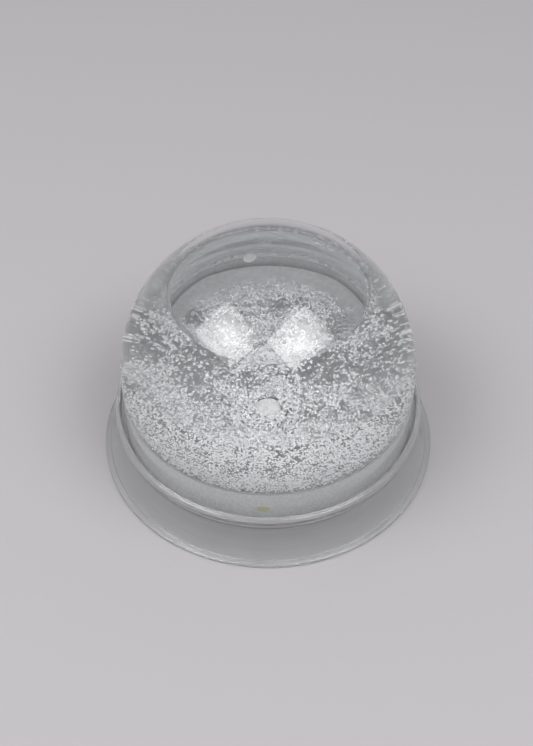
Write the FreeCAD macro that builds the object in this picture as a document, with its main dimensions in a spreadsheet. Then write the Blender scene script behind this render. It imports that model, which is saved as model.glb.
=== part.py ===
import FreeCAD, Part
import Sketcher
import math
import os
import random
import re

# A free-standing snow globe of clear moulded plastic, in millimetres.
# Origin: centre of the foot's underside. +Z is up, -Y is the front.

doc = FreeCAD.newDocument("snow_globe")

# ---- driving dimensions -------------------------------------------------------------

sheet = doc.addObject("Spreadsheet::Sheet", "dims")
dimensions = [
    ("footRadius", 50.0),         # outer edge of the base, on the table
    ("footHeight", 1.5),          # flat edge of the foot flange
    ("footStep", 1.5),            # width of the flange outside the skirt
    ("footLand", 3.2),            # width of the ring that touches the table
    ("skirtCurve", 23.0),         # radius of the skirt's hollow curve
    ("skirtWall", 1.8),
    ("neckRadius", 45.3),         # narrowest outside radius, under the lip
    ("neckHeight", 13.2),
    ("lipInner", 43.9),           # bore of the collar
    ("lipRound", 1.0),            # half the lip's width, rolled over the top
    ("lipTop", 16.8),
    ("ledgeHeight", 12.6),        # the dome's rim stands here
    ("ledgeThick", 1.4),
    ("ledgeInner", 40.0),
    ("domeRadius", 43.2),
    ("domeWall", 1.9),
    ("domeCentre", 31.2),         # height of the hemisphere's centre
    ("gateRadius", 1.7),          # trimmed moulding gate near the crown
    ("gateOffset", 5.1),
    ("gateRise", 0.2),
    ("gateRoot", 0.9),            # how far the gate reaches down into the wall
    ("floorTop", 18.4),           # the flat middle of the floor plate
    ("dishRadius", 33.0),         # where the floor starts to curve up
    ("dishTop", 24.0),            # the floor plate's upper edge at the wall
    ("dishLand", 1.0),            # flat top of that edge, under the sealing bead
    ("floorThick", 2.2),
    ("rimWall", 1.8),             # downturned rim of the floor plate
    ("cementGap", 0.02),          # cement film between the plate's rim and the dome
    ("beadLeg", 0.9),             # sealing bead in the corner over the floor
    ("bossRadius", 5.2),
    ("bossLength", 1.5),
    ("plugRadius", 2.7),
    ("plugSlack", 0.05),          # radial running clearance in the filling hole
    ("plugHead", 4.4),
    ("plugHeadThick", 1.5),
    ("plugEdge", 0.4),            # rounding of the head
    ("plugTip", 0.7),             # rounding of the tip
    ("liquidLevel", 61.9),
    ("liquidGap", 0.25),          # between the liquid and everything that holds it
    ("flakeAcross", 1.3),         # hexagonal flake, corner to corner
    ("flakeThick", 0.18),
    ("flakeCount", 240),
    ("flakeSpread", 31.0),        # radius of the settled snow
    ("flakeTilt", 25.0),          # steepest lean, in degrees
    ("flakeLift", 0.35),          # lowest flakes' clearance inside the liquid
    ("pileHeight", 2.2),          # how much higher the middle of the heap reaches
]
for row, (alias, number) in enumerate(dimensions, start=1):
    sheet.set("A%d" % row, alias)
    sheet.set("B%d" % row, str(number))
    sheet.setAlias("B%d" % row, alias)
doc.recompute()

aliases = [alias for alias, number in dimensions]


def bind(text):
    """Write sheet aliases in full, so that an expression can be bound anywhere."""
    return re.sub(r"[A-Za-z]+", lambda found: full(found.group()), text)


def full(word):
    return "dims." + word if word in aliases else word


def size(text):
    """The present value of an expression in the sheet's aliases."""
    return float(sheet.evalExpression(bind(text)))


# ---- revolved pieces ----------------------------------------------------------------

def originFeature(body, role):
    for feature in body.Origin.OriginFeatures:
        if feature.Role == role:
            return feature
    raise RuntimeError("no origin feature " + role)


def arcThrough(start, end, radius):
    """Arc of the given radius from start to end; a positive radius bulges left."""
    chord = end - start
    half = chord.Length / 2
    reach = abs(radius)
    sag = reach - math.sqrt(max(reach * reach - half * half, 0.0))
    left = FreeCAD.Vector(-chord.y, chord.x, 0).normalize()
    middle = (start + end) * 0.5 + left * math.copysign(sag, radius)
    return Part.Arc(start, middle, end)


def drawProfile(body, name, outline):
    """A closed half section on the XZ plane: (radius, height, arc radius or None).

    The arc radius belongs to the edge that leaves the point; its sign gives the side
    that the arc bulges to, seen along the edge.
    """
    sketch = body.newObject("Sketcher::SketchObject", name)
    sketch.AttachmentSupport = [(originFeature(body, "XZ_Plane"), "")]
    sketch.MapMode = "FlatFace"
    corners = [FreeCAD.Vector(size(r), size(z), 0) for r, z, bend in outline]
    count = len(outline)
    for index, (r, z, bend) in enumerate(outline):
        start = corners[index]
        end = corners[(index + 1) % count]
        if bend is None:
            sketch.addGeometry(Part.LineSegment(start, end))
        else:
            sign = -1 if bend.startswith("-") else 1
            arc = arcThrough(start, end, sign * size(bend.lstrip("-")))
            sketch.addGeometry(arc)
    # An arc's own ends run anticlockwise, so each end is matched by its place.
    ends = []
    for index in range(count):
        first = sketch.getPoint(index, 1)
        ahead = first.distanceToPoint(corners[index]) < 1e-6
        ends.append((1, 2) if ahead else (2, 1))
    for index in range(count):
        following = (index + 1) % count
        sketch.addConstraint(Sketcher.Constraint(
            "Coincident", index, ends[index][1], following, ends[following][0]))
    for index, (r, z, bend) in enumerate(outline):
        start = corners[index]
        if abs(start.x) < 1e-9:
            sketch.addConstraint(Sketcher.Constraint(
                "PointOnObject", index, ends[index][0], -2))
        else:
            tag = sketch.addConstraint(Sketcher.Constraint(
                "DistanceX", -1, 1, index, ends[index][0], start.x))
            sketch.setExpression("Constraints[%d]" % tag, bind(r))
        if abs(start.y) < 1e-9:
            sketch.addConstraint(Sketcher.Constraint(
                "PointOnObject", index, ends[index][0], -1))
        else:
            tag = sketch.addConstraint(Sketcher.Constraint(
                "DistanceY", -1, 1, index, ends[index][0], start.y))
            sketch.setExpression("Constraints[%d]" % tag, bind(z))
        if bend is not None:
            text = bend.lstrip("-")
            tag = sketch.addConstraint(Sketcher.Constraint("Radius", index, size(text)))
            sketch.setExpression("Constraints[%d]" % tag, bind(text))
    return sketch


def revolvedPiece(label, outline):
    body = doc.addObject("PartDesign::Body", label + "_body")
    body.Label = label
    sketch = drawProfile(body, label + "_section", outline)
    doc.recompute()
    turn = body.newObject("PartDesign::Revolution", label + "_turn")
    turn.Profile = (sketch, [""])
    turn.ReferenceAxis = (sketch, ["V_Axis"])
    turn.Angle = 360
    sketch.Visibility = False
    doc.recompute()
    return body


# Base: foot flange, hollow-curved skirt, rolled lip, and the ledge inside the collar.
baseRing = revolvedPiece("base_ring", [
    ("footRadius", "0", None),
    ("footRadius", "footHeight", None),
    ("footRadius - footStep", "footHeight", "skirtCurve"),
    ("neckRadius", "neckHeight", None),
    ("lipInner + 2 * lipRound", "lipTop - 2 * lipRound", None),
    ("lipInner + 2 * lipRound", "lipTop - lipRound", "-lipRound"),
    ("lipInner + lipRound", "lipTop", "-lipRound"),
    ("lipInner", "lipTop - lipRound", None),
    ("lipInner", "ledgeHeight", None),
    ("ledgeInner", "ledgeHeight", None),
    ("ledgeInner", "ledgeHeight - ledgeThick", None),
    ("neckRadius - skirtWall", "ledgeHeight - ledgeThick", "-(skirtCurve + skirtWall)"),
    ("footRadius - footLand", "0", None),
])

# Dome: a hemisphere on a short cylinder, one wall thickness all over.
domeShell = revolvedPiece("dome_shell", [
    ("domeRadius", "ledgeHeight", None),
    ("domeRadius", "domeCentre", "-domeRadius"),
    ("0", "domeCentre + domeRadius", None),
    ("0", "domeCentre + domeRadius - domeWall", "domeRadius - domeWall"),
    ("domeRadius - domeWall", "domeCentre", None),
    ("domeRadius - domeWall", "ledgeHeight", None),
])

# The gate is a low disc left of the crown, where the moulding was cut from its runner.
gateSketch = domeShell.newObject("Sketcher::SketchObject", "gate_circle")
gateSketch.AttachmentSupport = [(originFeature(domeShell, "XY_Plane"), "")]
gateSketch.MapMode = "FlatFace"
gateBottom = "domeCentre + sqrt(domeRadius^2 - gateOffset^2) - gateRoot"
gateSketch.setExpression("AttachmentOffset.Base.z", bind(gateBottom))
gateSketch.addGeometry(Part.Circle(
    FreeCAD.Vector(-size("gateOffset"), 0, 0), FreeCAD.Vector(0, 0, 1), size("gateRadius")))
gateSketch.addConstraint(Sketcher.Constraint("PointOnObject", 0, 3, -1))
gateAway = gateSketch.addConstraint(Sketcher.Constraint(
    "DistanceX", 0, 3, -1, 1, size("gateOffset")))
gateSketch.setExpression("Constraints[%d]" % gateAway, bind("gateOffset"))
gateWide = gateSketch.addConstraint(Sketcher.Constraint("Radius", 0, size("gateRadius")))
gateSketch.setExpression("Constraints[%d]" % gateWide, bind("gateRadius"))
doc.recompute()
plainDome = domeShell.Shape.Volume
gate = domeShell.newObject("PartDesign::Pad", "gate_mark")
gate.Profile = (gateSketch, [""])
gate.setExpression("Length", bind("gateRoot + gateRise"))
gateSketch.Visibility = False
doc.recompute()
if domeShell.Shape.Volume <= plainDome:
    raise RuntimeError("the gate mark added nothing")

# Floor plate: a shallow dish on a downturned rim, with a bored boss in the middle.
dishEdge = "(domeRadius - domeWall - cementGap - dishLand)"
dishRise = "(dishTop - floorTop)"
dishCurve = "(((" + dishEdge + " - dishRadius)^2 + " + dishRise + "^2) / (2 * " + dishRise + "))"
rimInner = "(domeRadius - domeWall - rimWall)"
underCurve = "(" + dishCurve + " + floorThick)"
underRim = "floorTop + " + dishCurve + " - sqrt(" + underCurve + "^2 - (" + rimInner + " - dishRadius)^2)"
floorPlate = revolvedPiece("floor_plate", [
    ("plugRadius + plugSlack", "floorTop", None),
    ("plugRadius + plugSlack", "floorTop - floorThick - bossLength", None),
    ("bossRadius", "floorTop - floorThick - bossLength", None),
    ("bossRadius", "floorTop - floorThick", None),
    ("dishRadius", "floorTop - floorThick", "-" + underCurve),
    (rimInner, underRim, None),
    (rimInner, "ledgeHeight", None),
    ("domeRadius - domeWall - cementGap", "ledgeHeight", None),
    ("domeRadius - domeWall - cementGap", "dishTop", None),
    (dishEdge, "dishTop", dishCurve),
    ("dishRadius", "floorTop", None),
])

# Sealing bead: a three-cornered fillet of cement between the dish's edge and the dome.
glueBead = revolvedPiece("glue_bead", [
    ("domeRadius - domeWall - cementGap", "dishTop", None),
    ("domeRadius - domeWall - cementGap", "dishTop + beadLeg", None),
    ("domeRadius - domeWall - beadLeg", "dishTop", None),
])

# Filling plug: a soft stopper with a rounded tip, pushed up into the boss from below.
fillerPlug = revolvedPiece("filler_plug", [
    ("0", "floorTop - floorThick - bossLength - plugHeadThick", None),
    ("plugHead - plugEdge", "floorTop - floorThick - bossLength - plugHeadThick", "plugEdge"),
    ("plugHead", "floorTop - floorThick - bossLength - plugHeadThick + plugEdge", None),
    ("plugHead", "floorTop - floorThick - bossLength", None),
    ("plugRadius", "floorTop - floorThick - bossLength", None),
    ("plugRadius", "floorTop - plugTip", "-plugTip"),
    ("plugRadius - plugTip", "floorTop", None),
    ("0", "floorTop", None),
])

# Liquid: fills the dome up to a flat surface, clear of the wall, floor and bead.
innerRadius = "domeRadius - domeWall - liquidGap"
levelRise = "(liquidLevel - domeCentre)"
liquidBody = revolvedPiece("liquid_body", [
    ("0", "floorTop + liquidGap", None),
    ("dishRadius", "floorTop + liquidGap", "-(" + dishCurve + " - liquidGap)"),
    (dishEdge + " - liquidGap", "dishTop", None),
    (dishEdge + " - liquidGap", "dishTop + beadLeg", None),
    (innerRadius, "dishTop + 2 * beadLeg", None),
    (innerRadius, "domeCentre", "-(" + innerRadius + ")"),
    ("sqrt((" + innerRadius + ")^2 - " + levelRise + "^2)", "liquidLevel", None),
    ("0", "liquidLevel", None),
])

# ---- settled snow -------------------------------------------------------------------

def flakeBlank():
    corners = []
    for corner in range(7):
        angle = math.radians(60 * corner)
        reach = size("flakeAcross") / 2
        corners.append(FreeCAD.Vector(reach * math.cos(angle), reach * math.sin(angle), 0))
    face = Part.Face(Part.makePolygon(corners))
    return face.extrude(FreeCAD.Vector(0, 0, size("flakeThick")))


def settledFlakes():
    """Flakes lying nearly flat in a sunflower pattern, so that none touches another."""
    draw = random.Random(7)
    blank = flakeBlank()
    count = int(size("flakeCount"))
    lift = size("floorTop") + 2 * size("liquidGap") + size("flakeLift")
    lean = size("flakeTilt")
    flakes = []
    for number in range(count):
        reach = size("flakeSpread") * math.sqrt((number + 0.5) / count)
        turn = number * math.pi * (3 - math.sqrt(5))
        flake = blank.copy()
        flake.rotate(FreeCAD.Vector(), FreeCAD.Vector(0, 0, 1), draw.uniform(0, 60))
        flake.rotate(FreeCAD.Vector(), FreeCAD.Vector(1, 0, 0), draw.uniform(-lean, lean))
        height = lift + draw.uniform(0, size("pileHeight")) * (1 - reach / size("flakeSpread"))
        flake.translate(FreeCAD.Vector(reach * math.cos(turn), reach * math.sin(turn), height))
        flakes.append(flake)
    return Part.makeCompound(flakes)


snowFlakes = doc.addObject("Part::Feature", "snow_flakes")
snowFlakes.Shape = settledFlakes()
snowFlakes.Placement = FreeCAD.Placement()

liquidFill = doc.addObject("Part::Cut", "liquid_fill")
liquidFill.Base = liquidBody
liquidFill.Tool = snowFlakes
doc.recompute()
if liquidFill.Shape.Volume >= liquidBody.Shape.Volume:
    raise RuntimeError("the flakes take no room in the liquid")

# ---- checks and files ---------------------------------------------------------------

pieces = [baseRing, domeShell, floorPlate, glueBead, fillerPlug, liquidFill, snowFlakes]

for item in doc.Objects:
    if any(word in item.State for word in ("Invalid", "Error")):
        raise RuntimeError("failed: " + item.Name)

for piece in pieces:
    if piece.Shape.isNull() or not piece.Shape.isValid():
        raise RuntimeError("bad shape: " + piece.Label)

os.makedirs("parts", exist_ok=True)
for piece in pieces:
    piece.Shape.exportStep("parts/" + piece.Label + ".step")
    low = piece.Shape.BoundBox
    print(piece.Label, "solids", len(piece.Shape.Solids), "volume", round(piece.Shape.Volume, 1),
          "height", round(low.ZMin, 2), round(low.ZMax, 2))
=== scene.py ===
import bpy
import bmesh
import math
import random
from mathutils import Matrix, Vector, noise


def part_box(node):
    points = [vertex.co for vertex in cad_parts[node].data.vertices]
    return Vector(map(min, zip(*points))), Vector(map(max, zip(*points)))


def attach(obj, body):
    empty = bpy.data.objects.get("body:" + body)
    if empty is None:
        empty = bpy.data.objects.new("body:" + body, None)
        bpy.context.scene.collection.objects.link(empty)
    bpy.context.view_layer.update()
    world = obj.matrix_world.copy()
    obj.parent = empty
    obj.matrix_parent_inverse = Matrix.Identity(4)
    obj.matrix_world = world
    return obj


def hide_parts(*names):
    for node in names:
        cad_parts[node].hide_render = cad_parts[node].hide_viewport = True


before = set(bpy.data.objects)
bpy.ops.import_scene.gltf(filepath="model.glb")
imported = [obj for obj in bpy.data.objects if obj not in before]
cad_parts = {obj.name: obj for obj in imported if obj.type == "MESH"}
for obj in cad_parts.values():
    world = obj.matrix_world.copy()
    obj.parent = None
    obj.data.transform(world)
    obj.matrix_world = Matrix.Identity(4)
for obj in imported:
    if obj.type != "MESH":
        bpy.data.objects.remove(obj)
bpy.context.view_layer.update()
print("frame loaded")

mm = 0.001


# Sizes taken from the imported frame, in millimetres

def span(node):
    low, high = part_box(node)
    return Vector(low) / mm, Vector(high) / mm


ringHigh = span("base_ring")[1]
domeLow, domeHigh = span("dome_shell")
plugLow, plugHigh = span("filler_plug")
beadLow, beadHigh = span("glue_bead")
contactHeight = span("liquid_fill")[1].z

domeRadius = domeHigh.y
domeCentre = domeHigh.z - domeRadius
floorTop = plugHigh.z
dishTop = beadLow.z
beadLeg = beadHigh.z - beadLow.z
seatHeight = domeLow.z

# Clearance between pieces that fit closely, so that no two faces coincide
fitGap = 0.02


# Camera, looking down on the front from a little under fifty degrees

cameraPlace = {
    "lens": 67.79,
    "sensor": 36,
    "clipStart": 0.01,
    "elevation": 47.6,
    "distance": 413.98,
    "aimHeight": 27.98,
    "shiftX": -0.0023,
    "roll": 0.16,
}


def placeCamera(place):
    data = bpy.data.cameras.new("viewCamera")
    data.lens = place["lens"]
    data.sensor_width = place["sensor"]
    data.shift_x = place["shiftX"]
    data.clip_start = place["clipStart"]
    camera = bpy.data.objects.new("viewCamera", data)
    bpy.context.scene.collection.objects.link(camera)
    rise = math.radians(place["elevation"])
    back = Vector((0, -math.cos(rise), math.sin(rise)))
    camera.location = (Vector((0, 0, place["aimHeight"])) + back * place["distance"]) * mm
    turn = back.to_track_quat("Z", "Y")
    camera.rotation_mode = "QUATERNION"
    roll = Matrix.Rotation(math.radians(place["roll"]), 3, "Z").to_quaternion()
    camera.rotation_quaternion = turn @ roll
    bpy.context.scene.camera = camera


placeCamera(cameraPlace)


# Materials: shared node groups first

def groupSocket(tree, name, direction, kind, value=None):
    socket = tree.interface.new_socket(name=name, in_out=direction, socket_type=kind)
    if value is not None:
        socket.default_value = value


def link(tree, source, target):
    tree.links.new(source, target)


def makeMouldGroup():
    # faint flow waves, fine scratches and a dusting of specks on a moulded surface
    tree = bpy.data.node_groups.new("mouldedFinish", "ShaderNodeTree")
    groupSocket(tree, "Wave Scale", "INPUT", "NodeSocketFloat", 60.0)
    groupSocket(tree, "Scratch Scale", "INPUT", "NodeSocketFloat", 900.0)
    groupSocket(tree, "Base Roughness", "INPUT", "NodeSocketFloat", 0.01)
    groupSocket(tree, "Wear", "INPUT", "NodeSocketFloat", 0.04)
    groupSocket(tree, "Height", "OUTPUT", "NodeSocketFloat")
    groupSocket(tree, "Roughness", "OUTPUT", "NodeSocketFloat")
    nodes = tree.nodes
    entry = nodes.new("NodeGroupInput")
    leave = nodes.new("NodeGroupOutput")
    coords = nodes.new("ShaderNodeTexCoord")
    wave = nodes.new("ShaderNodeTexNoise")
    wave.inputs["Detail"].default_value = 1.0
    scratch = nodes.new("ShaderNodeTexNoise")
    scratch.inputs["Detail"].default_value = 4.0
    stretch = nodes.new("ShaderNodeMapping")
    stretch.inputs["Scale"].default_value = (1.0, 1.0, 0.12)
    specks = nodes.new("ShaderNodeValToRGB")
    specks.color_ramp.elements[0].position = 0.62
    specks.color_ramp.elements[1].position = 0.74
    scaleWear = nodes.new("ShaderNodeMath")
    scaleWear.operation = "MULTIPLY_ADD"
    link(tree, coords.outputs["Object"], wave.inputs["Vector"])
    link(tree, coords.outputs["Object"], stretch.inputs["Vector"])
    link(tree, stretch.outputs["Vector"], scratch.inputs["Vector"])
    link(tree, entry.outputs["Wave Scale"], wave.inputs["Scale"])
    link(tree, entry.outputs["Scratch Scale"], scratch.inputs["Scale"])
    link(tree, scratch.outputs["Fac"], specks.inputs["Fac"])
    link(tree, specks.outputs["Color"], scaleWear.inputs[0])
    link(tree, entry.outputs["Wear"], scaleWear.inputs[1])
    link(tree, entry.outputs["Base Roughness"], scaleWear.inputs[2])
    link(tree, wave.outputs["Fac"], leave.inputs["Height"])
    link(tree, scaleWear.outputs["Value"], leave.inputs["Roughness"])
    return tree


mouldedFinish = makeMouldGroup()


def newMaterial(name):
    material = bpy.data.materials.new(name)
    material.use_nodes = True
    tree = material.node_tree
    shader = tree.nodes["Principled BSDF"]
    return material, tree, shader


def clearPlastic(name, ior, tint=(0.985, 0.99, 0.99), waves=0.00001, roughness=0.0, wear=0.0):
    # glass-like plastic; waves is the height of its flow waves in metres
    material, tree, shader = newMaterial(name)
    shader.inputs["Base Color"].default_value = (*tint, 1)
    shader.inputs["IOR"].default_value = ior
    shader.inputs["Transmission Weight"].default_value = 1.0
    finish = tree.nodes.new("ShaderNodeGroup")
    finish.node_tree = mouldedFinish
    finish.inputs["Base Roughness"].default_value = roughness
    finish.inputs["Wear"].default_value = wear
    link(tree, finish.outputs["Roughness"], shader.inputs["Roughness"])
    if waves:
        bump = tree.nodes.new("ShaderNodeBump")
        bump.inputs["Distance"].default_value = waves
        bump.inputs["Strength"].default_value = 1.0
        link(tree, finish.outputs["Height"], bump.inputs["Height"])
        link(tree, bump.outputs["Normal"], shader.inputs["Normal"])
    return material


def unseenFace(name):
    # a wetted or cemented boundary between two bodies of nearly one index
    material = bpy.data.materials.new(name)
    material.use_nodes = True
    tree = material.node_tree
    tree.nodes.remove(tree.nodes["Principled BSDF"])
    through = tree.nodes.new("ShaderNodeBsdfTransparent")
    link(tree, through.outputs["BSDF"], tree.nodes["Material Output"].inputs["Surface"])
    return material


plasticIndex = 1.49
waterIndex = 1.333
wetIndex = plasticIndex / waterIndex


def makeSpotGroup():
    # one at a chosen place and nought away from it, with a ragged edge
    tree = bpy.data.node_groups.new("raggedSpot", "ShaderNodeTree")
    groupSocket(tree, "Place", "INPUT", "NodeSocketVector")
    groupSocket(tree, "Stretch", "INPUT", "NodeSocketVector")
    groupSocket(tree, "Ragged", "INPUT", "NodeSocketFloat", 0.3)
    groupSocket(tree, "Mask", "OUTPUT", "NodeSocketFloat")
    nodes = tree.nodes
    entry = nodes.new("NodeGroupInput")
    leave = nodes.new("NodeGroupOutput")
    coords = nodes.new("ShaderNodeTexCoord")
    away = nodes.new("ShaderNodeVectorMath")
    away.operation = "SUBTRACT"
    scaled = nodes.new("ShaderNodeVectorMath")
    scaled.operation = "MULTIPLY"
    reach = nodes.new("ShaderNodeVectorMath")
    reach.operation = "LENGTH"
    ripple = nodes.new("ShaderNodeTexNoise")
    ripple.inputs["Scale"].default_value = 1500
    wobble = nodes.new("ShaderNodeMath")
    wobble.operation = "MULTIPLY_ADD"
    fall = nodes.new("ShaderNodeMapRange")
    fall.inputs["From Min"].default_value = 1.15
    fall.inputs["From Max"].default_value = 0.95
    link(tree, coords.outputs["Object"], away.inputs[0])
    link(tree, entry.outputs["Place"], away.inputs[1])
    link(tree, away.outputs["Vector"], scaled.inputs[0])
    link(tree, entry.outputs["Stretch"], scaled.inputs[1])
    link(tree, scaled.outputs["Vector"], reach.inputs[0])
    link(tree, coords.outputs["Object"], ripple.inputs["Vector"])
    link(tree, ripple.outputs["Fac"], wobble.inputs[0])
    link(tree, entry.outputs["Ragged"], wobble.inputs[1])
    link(tree, reach.outputs["Value"], wobble.inputs[2])
    link(tree, wobble.outputs["Value"], fall.inputs["Value"])
    link(tree, fall.outputs["Result"], leave.inputs["Mask"])
    return tree


raggedSpot = makeSpotGroup()


def spotMask(tree, place, reach, ragged):
    spot = tree.nodes.new("ShaderNodeGroup")
    spot.node_tree = raggedSpot
    spot.inputs["Place"].default_value = [value * mm for value in place]
    spot.inputs["Stretch"].default_value = [1 / (value * mm) for value in reach]
    spot.inputs["Ragged"].default_value = ragged
    return spot.outputs["Mask"]


def makeLathedGroup():
    # fine rings round the vertical axis, uneven in strength
    tree = bpy.data.node_groups.new("lathedRings", "ShaderNodeTree")
    groupSocket(tree, "Pitch Scale", "INPUT", "NodeSocketFloat", 160.0)
    groupSocket(tree, "Height", "OUTPUT", "NodeSocketFloat")
    nodes = tree.nodes
    entry = nodes.new("NodeGroupInput")
    leave = nodes.new("NodeGroupOutput")
    coords = nodes.new("ShaderNodeTexCoord")
    split = nodes.new("ShaderNodeSeparateXYZ")
    rings = nodes.new("ShaderNodeTexNoise")
    rings.noise_dimensions = "1D"
    rings.inputs["Detail"].default_value = 5.0
    rings.inputs["Roughness"].default_value = 0.7
    link(tree, coords.outputs["Object"], split.inputs["Vector"])
    link(tree, split.outputs["Z"], rings.inputs["W"])
    link(tree, entry.outputs["Pitch Scale"], rings.inputs["Scale"])
    link(tree, rings.outputs["Fac"], leave.inputs["Height"])
    return tree


lathedRings = makeLathedGroup()


def tintDrift(tree, shader, first, second, scale):
    # slow change of colour through the material
    coords = tree.nodes.new("ShaderNodeTexCoord")
    drift = tree.nodes.new("ShaderNodeTexNoise")
    drift.inputs["Scale"].default_value = scale
    ramp = tree.nodes.new("ShaderNodeValToRGB")
    ramp.color_ramp.elements[0].position = 0.35
    ramp.color_ramp.elements[0].color = (*first, 1)
    ramp.color_ramp.elements[1].position = 0.65
    ramp.color_ramp.elements[1].color = (*second, 1)
    link(tree, coords.outputs["Object"], drift.inputs["Vector"])
    link(tree, drift.outputs["Fac"], ramp.inputs["Fac"])
    link(tree, ramp.outputs["Color"], shader.inputs["Base Color"])
    return drift


gateMark = {"offset": -5.1, "radius": 1.7, "rise": 0.2, "edge": 0.3, "clear": 0.88}
yellowSpot = {"place": (-1.3, -41.3, 17.9), "reach": (2.5, 1.5, 1.7), "strength": 0.75}


def mattMaterial(name, dark, pale, scale, rough, bumps, clear, ior):
    # cloudy plastic: drifting colour and roughness, a fine grain, and some light through it
    material, tree, shader = newMaterial(name)
    drift = tintDrift(tree, shader, dark, pale, scale)
    scuff = tree.nodes.new("ShaderNodeMapRange")
    scuff.inputs["To Min"].default_value = rough[0]
    scuff.inputs["To Max"].default_value = rough[1]
    bump = tree.nodes.new("ShaderNodeBump")
    bump.inputs["Distance"].default_value = bumps * mm
    link(tree, drift.outputs["Fac"], scuff.inputs["Value"])
    link(tree, scuff.outputs["Result"], shader.inputs["Roughness"])
    link(tree, drift.outputs["Fac"], bump.inputs["Height"])
    link(tree, bump.outputs["Normal"], shader.inputs["Normal"])
    shader.inputs["Transmission Weight"].default_value = clear
    shader.inputs["IOR"].default_value = ior
    return material


def ringMaterial():
    material = clearPlastic("ringClear", plasticIndex, waves=0, wear=0.02)
    tree = material.node_tree
    shader = tree.nodes["Principled BSDF"]
    shader.inputs["Transmission Weight"].default_value = 0.85
    rings = tree.nodes.new("ShaderNodeGroup")
    rings.node_tree = lathedRings
    rings.inputs["Pitch Scale"].default_value = 700
    streaks = tree.nodes.new("ShaderNodeValToRGB")
    streaks.color_ramp.elements[0].position = 0.38
    streaks.color_ramp.elements[0].color = (0.88, 0.885, 0.89, 1)
    streaks.color_ramp.elements[1].position = 0.62
    streaks.color_ramp.elements[1].color = (1.0, 1.0, 1.0, 1)
    link(tree, rings.outputs["Height"], streaks.inputs["Fac"])
    link(tree, streaks.outputs["Color"], shader.inputs["Base Color"])
    bump = tree.nodes.new("ShaderNodeBump")
    bump.inputs["Distance"].default_value = 0.00002
    bump.inputs["Strength"].default_value = 1.0
    link(tree, rings.outputs["Height"], bump.inputs["Height"])
    link(tree, bump.outputs["Normal"], shader.inputs["Normal"])
    return material


def cementedMaterial():
    # the cement film: cloudy and speckled all round, yellowed at one place in front
    material, tree, shader = newMaterial("cementedFace")
    drift = tintDrift(tree, shader, (0.82, 0.835, 0.84), (0.98, 0.98, 0.985), 1300)
    cloudy = shader.inputs["Base Color"].links[0].from_socket
    mask = spotMask(tree, yellowSpot["place"], yellowSpot["reach"], 0.7)
    cover = tree.nodes.new("ShaderNodeMath")
    cover.operation = "MULTIPLY"
    cover.inputs[1].default_value = yellowSpot["strength"]
    blend = tree.nodes.new("ShaderNodeMix")
    blend.data_type = "RGBA"
    blend.inputs["B"].default_value = (0.72, 0.70, 0.30, 1)
    bump = tree.nodes.new("ShaderNodeBump")
    bump.inputs["Distance"].default_value = 0.00003
    link(tree, mask, cover.inputs[0])
    link(tree, cover.outputs["Value"], blend.inputs["Factor"])
    link(tree, cloudy, blend.inputs["A"])
    link(tree, blend.outputs["Result"], shader.inputs["Base Color"])
    link(tree, drift.outputs["Fac"], bump.inputs["Height"])
    link(tree, bump.outputs["Normal"], shader.inputs["Normal"])
    shader.inputs["Roughness"].default_value = 0.55
    shader.inputs["Alpha"].default_value = 0.9
    return material


domeOuter = clearPlastic("domeOuter", plasticIndex, waves=0.000012, wear=0.03)
gateFrost = mattMaterial("gateFrost", (0.88, 0.89, 0.90), (0.98, 0.98, 0.98), 900, (0.4, 0.7), 0.05,
                         gateMark["clear"], plasticIndex)
domeWet = clearPlastic("domeWet", wetIndex)
domeDry = clearPlastic("domeDry", plasticIndex, waves=0.000006)
ringClear = ringMaterial()
plateUnder = clearPlastic("plateUnder", plasticIndex, waves=0.00002, roughness=0.28, wear=0.1)
plateUnder.node_tree.nodes["Principled BSDF"].inputs["Transmission Weight"].default_value = 0.86
plateWet = clearPlastic("plateWet", wetIndex)
plateMilky = mattMaterial("plateMilky", (0.86, 0.875, 0.88), (0.98, 0.985, 0.985), 700, (0.4, 0.7),
                          0.03, 0.18, plasticIndex)
flakeWhite = mattMaterial("snowFlake", (0.90, 0.92, 0.93), (0.99, 0.99, 0.99), 700, (0.3, 0.5),
                          0.08, 0.0, plasticIndex)
plugSoft = mattMaterial("softPlug", (0.83, 0.85, 0.84), (0.95, 0.95, 0.94), 500, (0.35, 0.65),
                        0.06, 0.12, 1.3)
cementCloudy = mattMaterial("cement", (0.82, 0.84, 0.83), (0.93, 0.94, 0.93), 300, (0.2, 0.4),
                            0.08, 0.4, wetIndex)
waterTop = clearPlastic("waterTop", waterIndex, tint=(0.975, 0.985, 0.99), waves=0)
joined = unseenFace("joined")
cementedFace = cementedMaterial()


print("materials ready")


# Turned pieces: a half section spun about the vertical axis

def arcPoints(centre, radius, start, end, count):
    points = []
    for step in range(count + 1):
        angle = math.radians(start + (end - start) * step / count)
        points.append((centre[0] + radius * math.cos(angle), centre[1] + radius * math.sin(angle)))
    return points


def bowPoints(start, end, radius, count):
    # points along an arc between two places; a positive radius bows to the left
    first = Vector(start)
    last = Vector(end)
    chord = last - first
    half = chord.length / 2
    reach = math.sqrt(radius * radius - half * half)
    left = Vector((-chord.y, chord.x)).normalized()
    centre = (first + last) / 2 - left * math.copysign(reach, radius)
    opening = math.degrees(math.atan2(first.y - centre.y, first.x - centre.x))
    closing = math.degrees(math.atan2(last.y - centre.y, last.x - centre.x))
    return arcPoints(centre, abs(radius), opening, closing, count)


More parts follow.
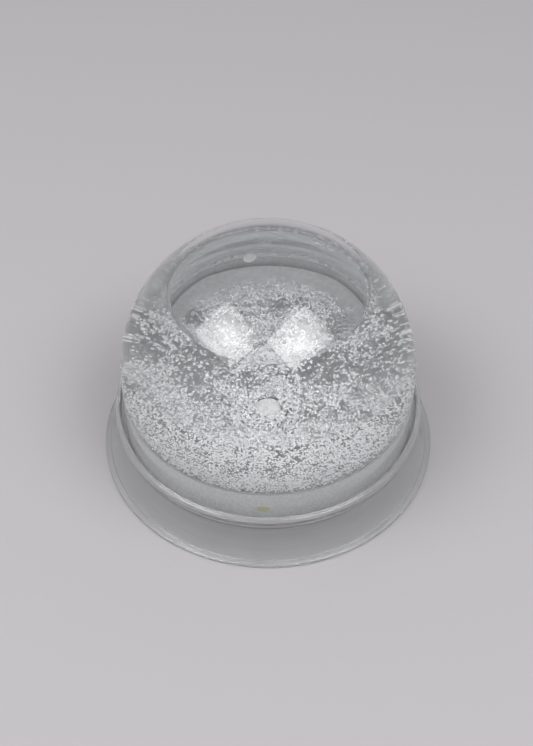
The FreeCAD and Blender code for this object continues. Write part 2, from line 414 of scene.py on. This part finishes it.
def spinProfile(outline, steps):
    bm = bmesh.new()
    verts = [bm.verts.new((max(r, 0.0) * mm, 0, z * mm)) for r, z in outline]
    edges = []
    for first, second in zip(verts, verts[1:] + verts[:1]):
        onAxis = first.co.x < 1e-9 and second.co.x < 1e-9
        if not onAxis:
            edges.append(bm.edges.new((first, second)))
    bmesh.ops.spin(bm, geom=verts + edges, cent=(0, 0, 0), axis=(0, 0, 1),
                   angle=math.tau, steps=steps, use_merge=True)
    bmesh.ops.remove_doubles(bm, verts=bm.verts[:], dist=1e-7)
    bmesh.ops.dissolve_degenerate(bm, dist=1e-8, edges=bm.edges[:])
    bmesh.ops.recalc_face_normals(bm, faces=bm.faces[:])
    return bm


def makePiece(name, bm, materials, body, chooser=None, sharp=40):
    # the chooser gives each face its material, from its centre and its normal
    if chooser:
        for face in bm.faces:
            chosen = chooser(face.calc_center_median() / mm, face.normal)
            face.material_index = materials.index(chosen)
    mesh = bpy.data.meshes.new(name)
    bm.to_mesh(mesh)
    bm.free()
    for material in materials:
        mesh.materials.append(material)
    mesh.shade_smooth()
    mesh.set_sharp_from_angle(angle=math.radians(sharp))
    piece = bpy.data.objects.new(name, mesh)
    bpy.context.scene.collection.objects.link(piece)
    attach(piece, body)
    return piece


domeShape = {"wall": 1.9, "steps": 192, "arcSteps": 48, "crownSteps": 40, "crownAngle": 78,
             "drySteps": 32, "wetSteps": 40, "rimRound": 0.3, "crownDepth": 1.0}


def inGate(place):
    return math.hypot(place.x - gateMark["offset"], place.y) < gateMark["radius"]


def raiseGate(bm, depth):
    # lift the outer skin into a low disc beside the crown
    middle = Vector((0, 0, domeCentre))
    for vert in bm.verts:
        co = vert.co / mm
        if co.z > domeHigh.z - depth and inGate(co):
            away = math.hypot(co.x - gateMark["offset"], co.y)
            edge = min(1.0, (gateMark["radius"] - away) / gateMark["edge"])
            up = (co - middle).normalized()
            vert.co = (co + up * gateMark["rise"] * edge * edge * (3 - 2 * edge)) * mm


def buildDome(shape):
    inner = domeRadius - shape["wall"]
    rim = shape["rimRound"]
    crown = shape["crownAngle"]
    outline = [(domeRadius - rim, seatHeight), (domeRadius, seatHeight + rim)]
    outline += arcPoints((0, domeCentre), domeRadius, 0, crown, shape["arcSteps"])
    outline += arcPoints((0, domeCentre), domeRadius, crown, 90, shape["crownSteps"])[1:]
    contactAngle = math.degrees(math.asin((contactHeight - domeCentre) / inner))
    outline += arcPoints((0, domeCentre), inner, 90, contactAngle, shape["drySteps"])
    outline += arcPoints((0, domeCentre), inner, contactAngle, 0, shape["wetSteps"])[1:]
    outline += [(inner, dishTop), (inner, seatHeight + rim), (inner + rim, seatHeight)]
    bm = spinProfile(outline, shape["steps"])
    raiseGate(bm, shape["crownDepth"])

    def chooser(centre, normal):
        reach = math.hypot(centre.x, centre.y)
        if centre.z > domeCentre:
            reach = math.hypot(reach, centre.z - domeCentre)
        if reach > inner + 0.2:
            return gateFrost if inGate(centre) and centre.z > domeCentre else domeOuter
        if centre.z < dishTop:
            return cementedFace
        return domeWet if centre.z < contactHeight else domeDry

    materials = [domeOuter, domeWet, domeDry, cementedFace, gateFrost]
    dome = makePiece("dome_clear", bm, materials, "globe", chooser)
    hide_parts("dome_shell")
    return inner


domeInner = buildDome(domeShape)


# The floor's dish: its centre line is an arc that meets the flat floor smoothly

dish = {"start": 33.0, "land": 1.0}
dishEdge = domeInner - fitGap - dish["land"]
dishRise = dishTop - floorTop
dishCurve = ((dishEdge - dish["start"]) ** 2 + dishRise ** 2) / (2 * dishRise)
dishAngle = math.degrees(math.asin((dishRise - dishCurve) / dishCurve))


def dishPoints(gap, count=24):
    # from the flat floor out to the wall; the gap lifts the line off the plate
    centre = (dish["start"], floorTop + dishCurve)
    return arcPoints(centre, dishCurve - gap, -90, dishAngle, count)


# Liquid: its top climbs at the wall, and bubbles hang under it. Each bubble at the wall has
# a bearing in degrees and a radius in millimetres. The rest float on the flat of the
# surface, with their distance from the axis between those two

liquidShape = {
    "steps": 192, "arcSteps": 40, "climb": 2.1, "climbReach": 8.5, "climbPower": 2.2,
    "climbSteps": 40, "climbSpacing": 1.6, "edge": 0.8, "edgeWidth": 0.9, "openDepth": 8,
    "wallGap": 0.06, "wallDrop": 0.30, "wallHang": 1.36, "floatGap": 0.04,
    "atWall": [
        (158, 0.5), (150, 0.6), (143, 0.45), (137, 0.85), (131, 0.6), (126, 0.5), (119, 0.6),
        (113, 0.75), (108, 0.55), (103, 0.65), (97, 1.05), (90, 0.7), (83, 0.95), (78, 0.6),
        (73, 1.0), (68, 0.7), (58, 1.8), (48, 2.0), (39, 0.9), (33, 1.15), (28, 0.7), (23, 1.1),
        (17, 0.7), (11, 0.95), (5, 0.8), (-1, 0.9), (-7, 0.7), (-13, 0.75), (-20, 0.55),
        (-97, 0.35), (-91, 0.3),
    ],
    "afloat": [
        (-12, 22.8, 0.8), (-20, 21.8, 0.7), (-16, 20.5, 0.5), (-94, 24.6, 0.3), (-92, 22.8, 0.36),
        (-89, 21.2, 0.26), (-85, 19.8, 0.34), (-81, 18.6, 0.28), (-76, 17.4, 0.36),
        (-72, 16.2, 0.26), (-66, 15.2, 0.34), (-60, 14.0, 0.28), (-54, 13.2, 0.36),
        (-46, 12.6, 0.26), (35, 9.0, 0.4), (62, 6.0, 0.5), (50, 3.0, 0.35),
    ],
}


def addBubble(bm, bearing, reach, height, radius):
    # an air pocket, as a hollow in the water: its faces look into the air
    angle = math.radians(bearing)
    place = Vector((reach * math.cos(angle), reach * math.sin(angle), height))
    ball = bmesh.ops.create_icosphere(bm, subdivisions=3, radius=radius * mm,
                                      matrix=Matrix.Translation(place * mm))
    faces = {face for vert in ball["verts"] for face in vert.link_faces}
    bmesh.ops.reverse_faces(bm, faces=list(faces))


def addBubbles(bm, shape):
    level = contactHeight - shape["climb"]
    for bearing, radius in shape["atWall"]:
        height = contactHeight - shape["wallDrop"] - shape["wallHang"] * radius
        away = domeInner - shape["wallGap"] - radius
        reach = math.sqrt(away ** 2 - (height - domeCentre) ** 2)
        addBubble(bm, bearing, reach, height, radius)
    for bearing, reach, radius in shape["afloat"]:
        addBubble(bm, bearing, reach, level - radius - shape["floatGap"], radius)


def buildLiquid(shape):
    skin = domeInner - fitGap
    contactAngle = math.degrees(math.asin((contactHeight - domeCentre) / skin))
    contactReach = skin * math.cos(math.radians(contactAngle))
    outline = [(0, floorTop + fitGap)]
    outline += dishPoints(fitGap)
    outline += [(skin - beadLeg, dishTop + fitGap), (skin, dishTop + beadLeg + fitGap)]
    outline += arcPoints((0, domeCentre), skin, 0, contactAngle, shape["arcSteps"])
    for step in range(1, shape["climbSteps"] + 1):
        away = shape["climbReach"] * (step / shape["climbSteps"]) ** shape["climbSpacing"]
        share = 1 - away / shape["climbReach"]
        close = max(0.0, 1 - away / shape["edgeWidth"])
        slow = (shape["climb"] - shape["edge"]) * share ** shape["climbPower"]
        height = contactHeight - shape["climb"] + slow + shape["edge"] * close ** 2
        outline.append((contactReach - away, height))
    outline += [(0, contactHeight - shape["climb"])]
    bm = spinProfile(outline, shape["steps"])
    addBubbles(bm, shape)

    def chooser(centre, normal):
        reach = math.hypot(centre.x, centre.y)
        beyond = reach if centre.z < domeCentre else math.hypot(reach, centre.z - domeCentre)
        nearTop = centre.z > contactHeight - shape["openDepth"]
        return waterTop if nearTop and beyond < skin - 0.05 else joined

    water = makePiece("liquid_clear", bm, [waterTop, joined], "snow", chooser)
    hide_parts("liquid_fill")


buildLiquid(liquidShape)


plateShape = {"rimWall": 1.8, "rimEdge": 0.2, "thick": 2.2, "underSteps": 16, "hole": 2.75,
              "boss": 5.2, "bossDrop": 1.5, "bossEdge": 0.3, "bossRoot": 0.4, "milkyTo": 4.6,
              "steps": 160}


def buildPlate(shape):
    rim = domeInner - fitGap
    wall = rim - shape["rimWall"]
    edge = shape["rimEdge"]
    hole = shape["hole"]
    boss = shape["boss"]
    under = floorTop - shape["thick"]
    drop = under - shape["bossDrop"]
    lower = dishCurve + shape["thick"]
    wallAngle = -math.degrees(math.acos((wall - dish["start"]) / lower))
    outline = [
        (hole, floorTop), (hole, drop), (boss - shape["bossEdge"], drop),
        (boss, drop + shape["bossEdge"]), (boss, under - shape["bossRoot"]),
        (boss + shape["bossRoot"], under),
    ]
    outline += arcPoints((dish["start"], floorTop + dishCurve), lower, -90, wallAngle,
                         shape["underSteps"])
    outline += [(wall, seatHeight + edge), (wall + edge, seatHeight), (rim, seatHeight),
                (rim, dishTop)]
    outline += list(reversed(dishPoints(0.0)))
    bm = spinProfile(outline, shape["steps"])

    def chooser(centre, normal):
        reach = math.hypot(centre.x, centre.y)
        if reach > rim - 0.1 or reach < hole + 0.05:
            return joined
        if reach < shape["milkyTo"] or centre.z > dishTop - 0.01:
            return plateMilky
        if centre.z > floorTop - 0.01 and normal.z > 0:
            return plateWet
        if reach > dish["start"] or reach < boss + 0.2:
            return plateMilky
        return plateUnder

    materials = [plateUnder, plateWet, joined, plateMilky]
    plate = makePiece("floor_plate_clear", bm, materials, "globe", chooser)
    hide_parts("floor_plate")


buildPlate(plateShape)


plugShape = {"shaft": 2.74, "head": 4.4, "headThick": 1.5, "headEdge": 0.4, "tip": 0.35,
             "tipSteps": 6, "steps": 64}


def buildPlug(shape):
    low = plugLow.z
    head = shape["head"]
    headTop = low + shape["headThick"]
    edge = shape["headEdge"]
    tip = shape["tip"]
    outline = [(0, low), (head - edge, low), (head, low + edge), (head, headTop),
               (shape["shaft"], headTop)]
    outline += arcPoints((shape["shaft"] - tip, floorTop - tip), tip, 0, 90, shape["tipSteps"])
    outline += [(0, floorTop)]
    bm = spinProfile(outline, shape["steps"])
    plug = makePiece("plug_soft", bm, [plugSoft], "plug")
    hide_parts("filler_plug")


buildPlug(plugShape)


beadShape = {"wallGap": 0.03, "lift": 0.01, "steps": 160}


def buildBead(shape):
    rim = domeInner - shape["wallGap"]
    foot = dishTop + shape["lift"]
    outline = [(rim, foot), (rim, dishTop + beadLeg), (rim - beadLeg + fitGap, foot)]
    bm = spinProfile(outline, shape["steps"])

    def chooser(centre, normal):
        return cementCloudy if normal.z > 0.1 else joined

    bead = makePiece("cement_bead", bm, [cementCloudy, joined], "globe", chooser)
    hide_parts("glue_bead")


buildBead(beadShape)


ringShape = {"footHeight": 1.5, "footEdge": 0.2, "footRound": 0.35, "step": 1.5, "land": 3.2,
             "skirtCurve": 23.0, "skirtSteps": 20, "wall": 1.8, "neck": 45.3, "neckHeight": 13.2,
             "bore": 43.9, "lipRound": 1.0, "lipSteps": 16, "ledge": 40.0, "ledgeEdge": 0.2,
             "ledgeThick": 1.4, "steps": 192}


def buildRing(shape):
    foot = ringHigh.y
    top = ringHigh.z
    lip = shape["lipRound"]
    outside = shape["bore"] + 2 * lip
    under = seatHeight - shape["ledgeThick"]
    footEdge = shape["footEdge"]
    footRound = shape["footRound"]
    shoulder = shape["footHeight"] - footRound
    ledge = shape["ledge"]
    ledgeEdge = shape["ledgeEdge"]
    steps = shape["skirtSteps"]
    outline = [(foot - footEdge, 0), (foot, footEdge), (foot, shoulder)]
    outline += arcPoints((foot - footRound, shoulder), footRound, 0, 90, 4)[1:]
    outline += bowPoints((foot - shape["step"], shape["footHeight"]),
                         (shape["neck"], shape["neckHeight"]), shape["skirtCurve"], steps)
    outline += [(outside, top - 2 * lip)]
    outline += arcPoints((outside - lip, top - lip), lip, 0, 180, shape["lipSteps"])
    outline += [(shape["bore"], seatHeight), (ledge + ledgeEdge, seatHeight),
                (ledge, seatHeight - ledgeEdge), (ledge, under)]
    outline += bowPoints((shape["neck"] - shape["wall"], under), (foot - shape["land"], 0.0),
                         -(shape["skirtCurve"] + shape["wall"]), steps)
    bm = spinProfile(outline, shape["steps"])
    ring = makePiece("base_clear", bm, [ringClear], "stand")
    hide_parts("base_ring")


buildRing(ringShape)
print("turned pieces ready")


# Snow: thin curled scraps, settled unevenly on the floor. Patch and grain are the scale, the
# place and the strength of the noise that thins it. Each bare place has its centre, its
# radius and the share of flakes left in it

flakeShape = {"tilt": 0.40, "bend": 0.35, "ragged": (0.70, 1.15), "thick": 0.10}
snowShape = {
    "coarse": 15000, "coarseAcross": 0.58, "fine": 15000, "fineAcross": 0.40,
    "sizes": (0.65, 1.3), "spread": 33.0, "fade": 3.0, "fadeLeft": 0.15,
    "lift": 0.20, "depth": 0.22, "seed": 11,
    "cover": 0.70, "patch": (0.16, 3.1, 0.60), "grain": (0.55, 7.7, 0.60),
    "front": {"from": -4, "over": 8, "more": 0.12}, "middle": {"radius": 9, "more": 1.1},
    "bare": [(-23.5, 16.5, 5.5, 0.35), (-13.0, 12.5, 7.0, 0.30), (11.5, 11.0, 6.5, 0.30),
             (22.0, 13.0, 6.5, 0.35)],
    "plugClear": 2.6,
    "dust": 6500, "dustAcross": 0.32, "dustLift": 0.3, "dustFrom": -84, "dustPower": 1.3,
    "floating": 260, "floatReach": 30, "floatLow": 1.5, "floatSpan": 22, "floatScale": 0.7,
}


def flakeShare(x, y, shape):
    # how likely a flake is to lie here: patchy, dense in front, thin in the bare places
    reach = math.hypot(x, y)
    if reach < shape["plugClear"]:
        return 0.0
    share = shape["cover"]
    for scale, level, strength in (shape["patch"], shape["grain"]):
        share += strength * noise.noise(Vector((x * scale, y * scale, level)))
    front = shape["front"]
    middle = shape["middle"]
    inFront = min(1.0, max(0.0, (front["from"] - y) / front["over"]))
    inMiddle = max(0.0, 1 - reach / middle["radius"])
    share += front["more"] * inFront + middle["more"] * inMiddle
    for bareX, bareY, radius, left in shape["bare"]:
        away = math.hypot(x - bareX, y - bareY) / radius
        share *= min(1.0, max(0.0, away - 0.7) * 2.0 + left)
    return share


def addFlake(verts, faces, draw, place, across, corners):
    # one scrap with a thin rim, bent a little along its length
    turn = draw.uniform(0, math.tau)
    lean = draw.gauss(0, flakeShape["tilt"])
    tilt = Matrix.Rotation(lean, 3, "X") @ Matrix.Rotation(turn, 3, "Z")
    tilt = Matrix.Rotation(draw.uniform(0, math.tau), 3, "Z") @ tilt
    bend = draw.uniform(-flakeShape["bend"], flakeShape["bend"])
    base = len(verts)
    for corner in range(corners):
        angle = math.tau * corner / corners
        reach = 0.5 * draw.uniform(*flakeShape["ragged"])
        x = reach * math.cos(angle)
        co = Vector((x, reach * math.sin(angle), bend * x * x))
        verts.append((tilt @ (co * across) + place) * mm)
    for lift in (-flakeShape["thick"], flakeShape["thick"]):
        verts.append((tilt @ (Vector((0, 0, lift)) * across) + place) * mm)
    for corner in range(corners):
        following = (corner + 1) % corners
        faces.append((base + following, base + corner, base + corners))
        faces.append((base + corner, base + following, base + corners + 1))


def settle(verts, faces, draw, shape, count, across, corners):
    placed = 0
    while placed < count:
        reach = shape["spread"] * math.sqrt(draw.random())
        turn = draw.uniform(0, math.tau)
        x = reach * math.cos(turn)
        y = reach * math.sin(turn)
        edge = min(1.0, (shape["spread"] - reach) / shape["fade"] + shape["fadeLeft"])
        if draw.random() > flakeShare(x, y, shape) * edge:
            continue
        place = Vector((x, y, floorTop + shape["lift"] + abs(draw.gauss(0, shape["depth"]))))
        addFlake(verts, faces, draw, place, across * draw.uniform(*shape["sizes"]), corners)
        placed += 1


def dustDish(verts, faces, draw, shape):
    # finer dust that clings to the dish's slope
    radius = dishCurve - shape["dustLift"]
    for number in range(shape["dust"]):
        climb = draw.random() ** shape["dustPower"]
        slope = math.radians(-90 + (dishAngle - shape["dustFrom"]) * climb)
        turn = draw.uniform(0, math.tau)
        reach = dish["start"] + radius * math.cos(slope)
        height = floorTop + dishCurve + radius * math.sin(slope)
        place = Vector((reach * math.cos(turn), reach * math.sin(turn), height))
        addFlake(verts, faces, draw, place, shape["dustAcross"], 3)


def floatFlakes(verts, faces, draw, shape):
    for number in range(shape["floating"]):
        reach = shape["floatReach"] * math.sqrt(draw.random())
        turn = draw.uniform(0, math.tau)
        height = floorTop + shape["floatLow"] + shape["floatSpan"] * draw.random() ** 2
        place = Vector((reach * math.cos(turn), reach * math.sin(turn), height))
        addFlake(verts, faces, draw, place, shape["coarseAcross"] * shape["floatScale"], 5)


def snowPiece(name, verts, faces):
    mesh = bpy.data.meshes.new(name)
    mesh.from_pydata(verts, [], faces)
    mesh.materials.append(flakeWhite)
    mesh.update()
    snow = bpy.data.objects.new(name, mesh)
    bpy.context.scene.collection.objects.link(snow)
    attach(snow, "snow")
    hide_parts("snow_flakes")


def buildSnow(shape):
    draw = random.Random(shape["seed"])
    verts = []
    faces = []
    settle(verts, faces, draw, shape, shape["coarse"], shape["coarseAcross"], 5)
    floatFlakes(verts, faces, draw, shape)
    snowPiece("snow_settled", verts, faces)
    verts = []
    faces = []
    settle(verts, faces, draw, shape, shape["fine"], shape["fineAcross"], 3)
    dustDish(verts, faces, draw, shape)
    snowPiece("snow_fine", verts, faces)


buildSnow(snowShape)
print("snow ready")


# Floor, softboxes and room light

studio = {
    "floor": (0.42, 0.403, 0.415),
    "floorHalf": 6.0,
    "gap": 0.05,
    "boxAim": 40,
    "boxDistance": 900.0,
    "boxSize": (0.68, 0.50),
    "boxEdge": 2.8,
    "boxCentre": 7.6,
    "boxFall": (0.02, 0.52),
    "room": 0.50,
}


def buildFloor():
    bm = bmesh.new()
    drop = Matrix.Translation((0, 0, -studio["gap"] * mm))
    bmesh.ops.create_grid(bm, x_segments=8, y_segments=8, size=studio["floorHalf"], matrix=drop)
    mesh = bpy.data.meshes.new("tableTop")
    bm.to_mesh(mesh)
    bm.free()
    floor = bpy.data.objects.new("tableTop", mesh)
    bpy.context.scene.collection.objects.link(floor)
    material, tree, shader = newMaterial("paper")
    shader.inputs["Base Color"].default_value = (*studio["floor"], 1)
    shader.inputs["Roughness"].default_value = 0.7
    mesh.materials.append(material)


def softbox(name, direction, edge):
    # a lamp panel that is brightest in the middle
    data = bpy.data.lights.new(name, "AREA")
    data.shape = "RECTANGLE"
    data.size, data.size_y = studio["boxSize"]
    data.energy = math.pi * data.size * data.size_y
    data.use_nodes = True
    tree = data.node_tree
    emission = tree.nodes["Emission"]
    spread = tree.nodes.new("ShaderNodeNewGeometry")
    middle = tree.nodes.new("ShaderNodeVectorMath")
    middle.operation = "DISTANCE"
    middle.inputs[1].default_value = (0.5, 0.5, 0.0)
    glow = tree.nodes.new("ShaderNodeMapRange")
    glow.interpolation_type = "SMOOTHSTEP"
    glow.inputs["From Min"].default_value = studio["boxFall"][0]
    glow.inputs["From Max"].default_value = studio["boxFall"][1]
    glow.inputs["To Min"].default_value = studio["boxCentre"]
    glow.inputs["To Max"].default_value = studio["boxEdge"]
    link(tree, spread.outputs["Parametric"], middle.inputs[0])
    link(tree, middle.outputs["Value"], glow.inputs["Value"])
    link(tree, glow.outputs["Result"], emission.inputs["Strength"])
    lamp = bpy.data.objects.new(name, data)
    bpy.context.scene.collection.objects.link(lamp)
    back = Vector(direction).normalized()
    side = Vector(edge)
    side = (side - back * side.dot(back)).normalized()
    turn = Matrix((side, back.cross(side), back)).transposed().to_4x4()
    place = Vector((0, 0, studio["boxAim"])) + back * studio["boxDistance"]
    lamp.matrix_world = Matrix.Translation(place * mm) @ turn


def buildLight():
    softbox("softboxLeft", (-0.50, -0.25, 0.82), (0.38, -0.565, -0.01))
    softbox("softboxRight", (0.40, -0.33, 0.85), (-0.45, -0.55, -0.01))
    world = bpy.data.worlds.new("room")
    world.use_nodes = True
    world.node_tree.nodes["Background"].inputs["Color"].default_value = (0.96, 0.97, 1.0, 1)
    world.node_tree.nodes["Background"].inputs["Strength"].default_value = studio["room"]
    bpy.context.scene.world = world


buildFloor()
buildLight()
print("studio ready")

scene = bpy.context.scene
scene.view_settings.view_transform = "Standard"
scene.cycles.max_bounces = 24
scene.cycles.transmission_bounces = 24
scene.cycles.transparent_max_bounces = 24
scene.cycles.glossy_bounces = 6
scene.cycles.diffuse_bounces = 4
scene.cycles.use_denoising = True
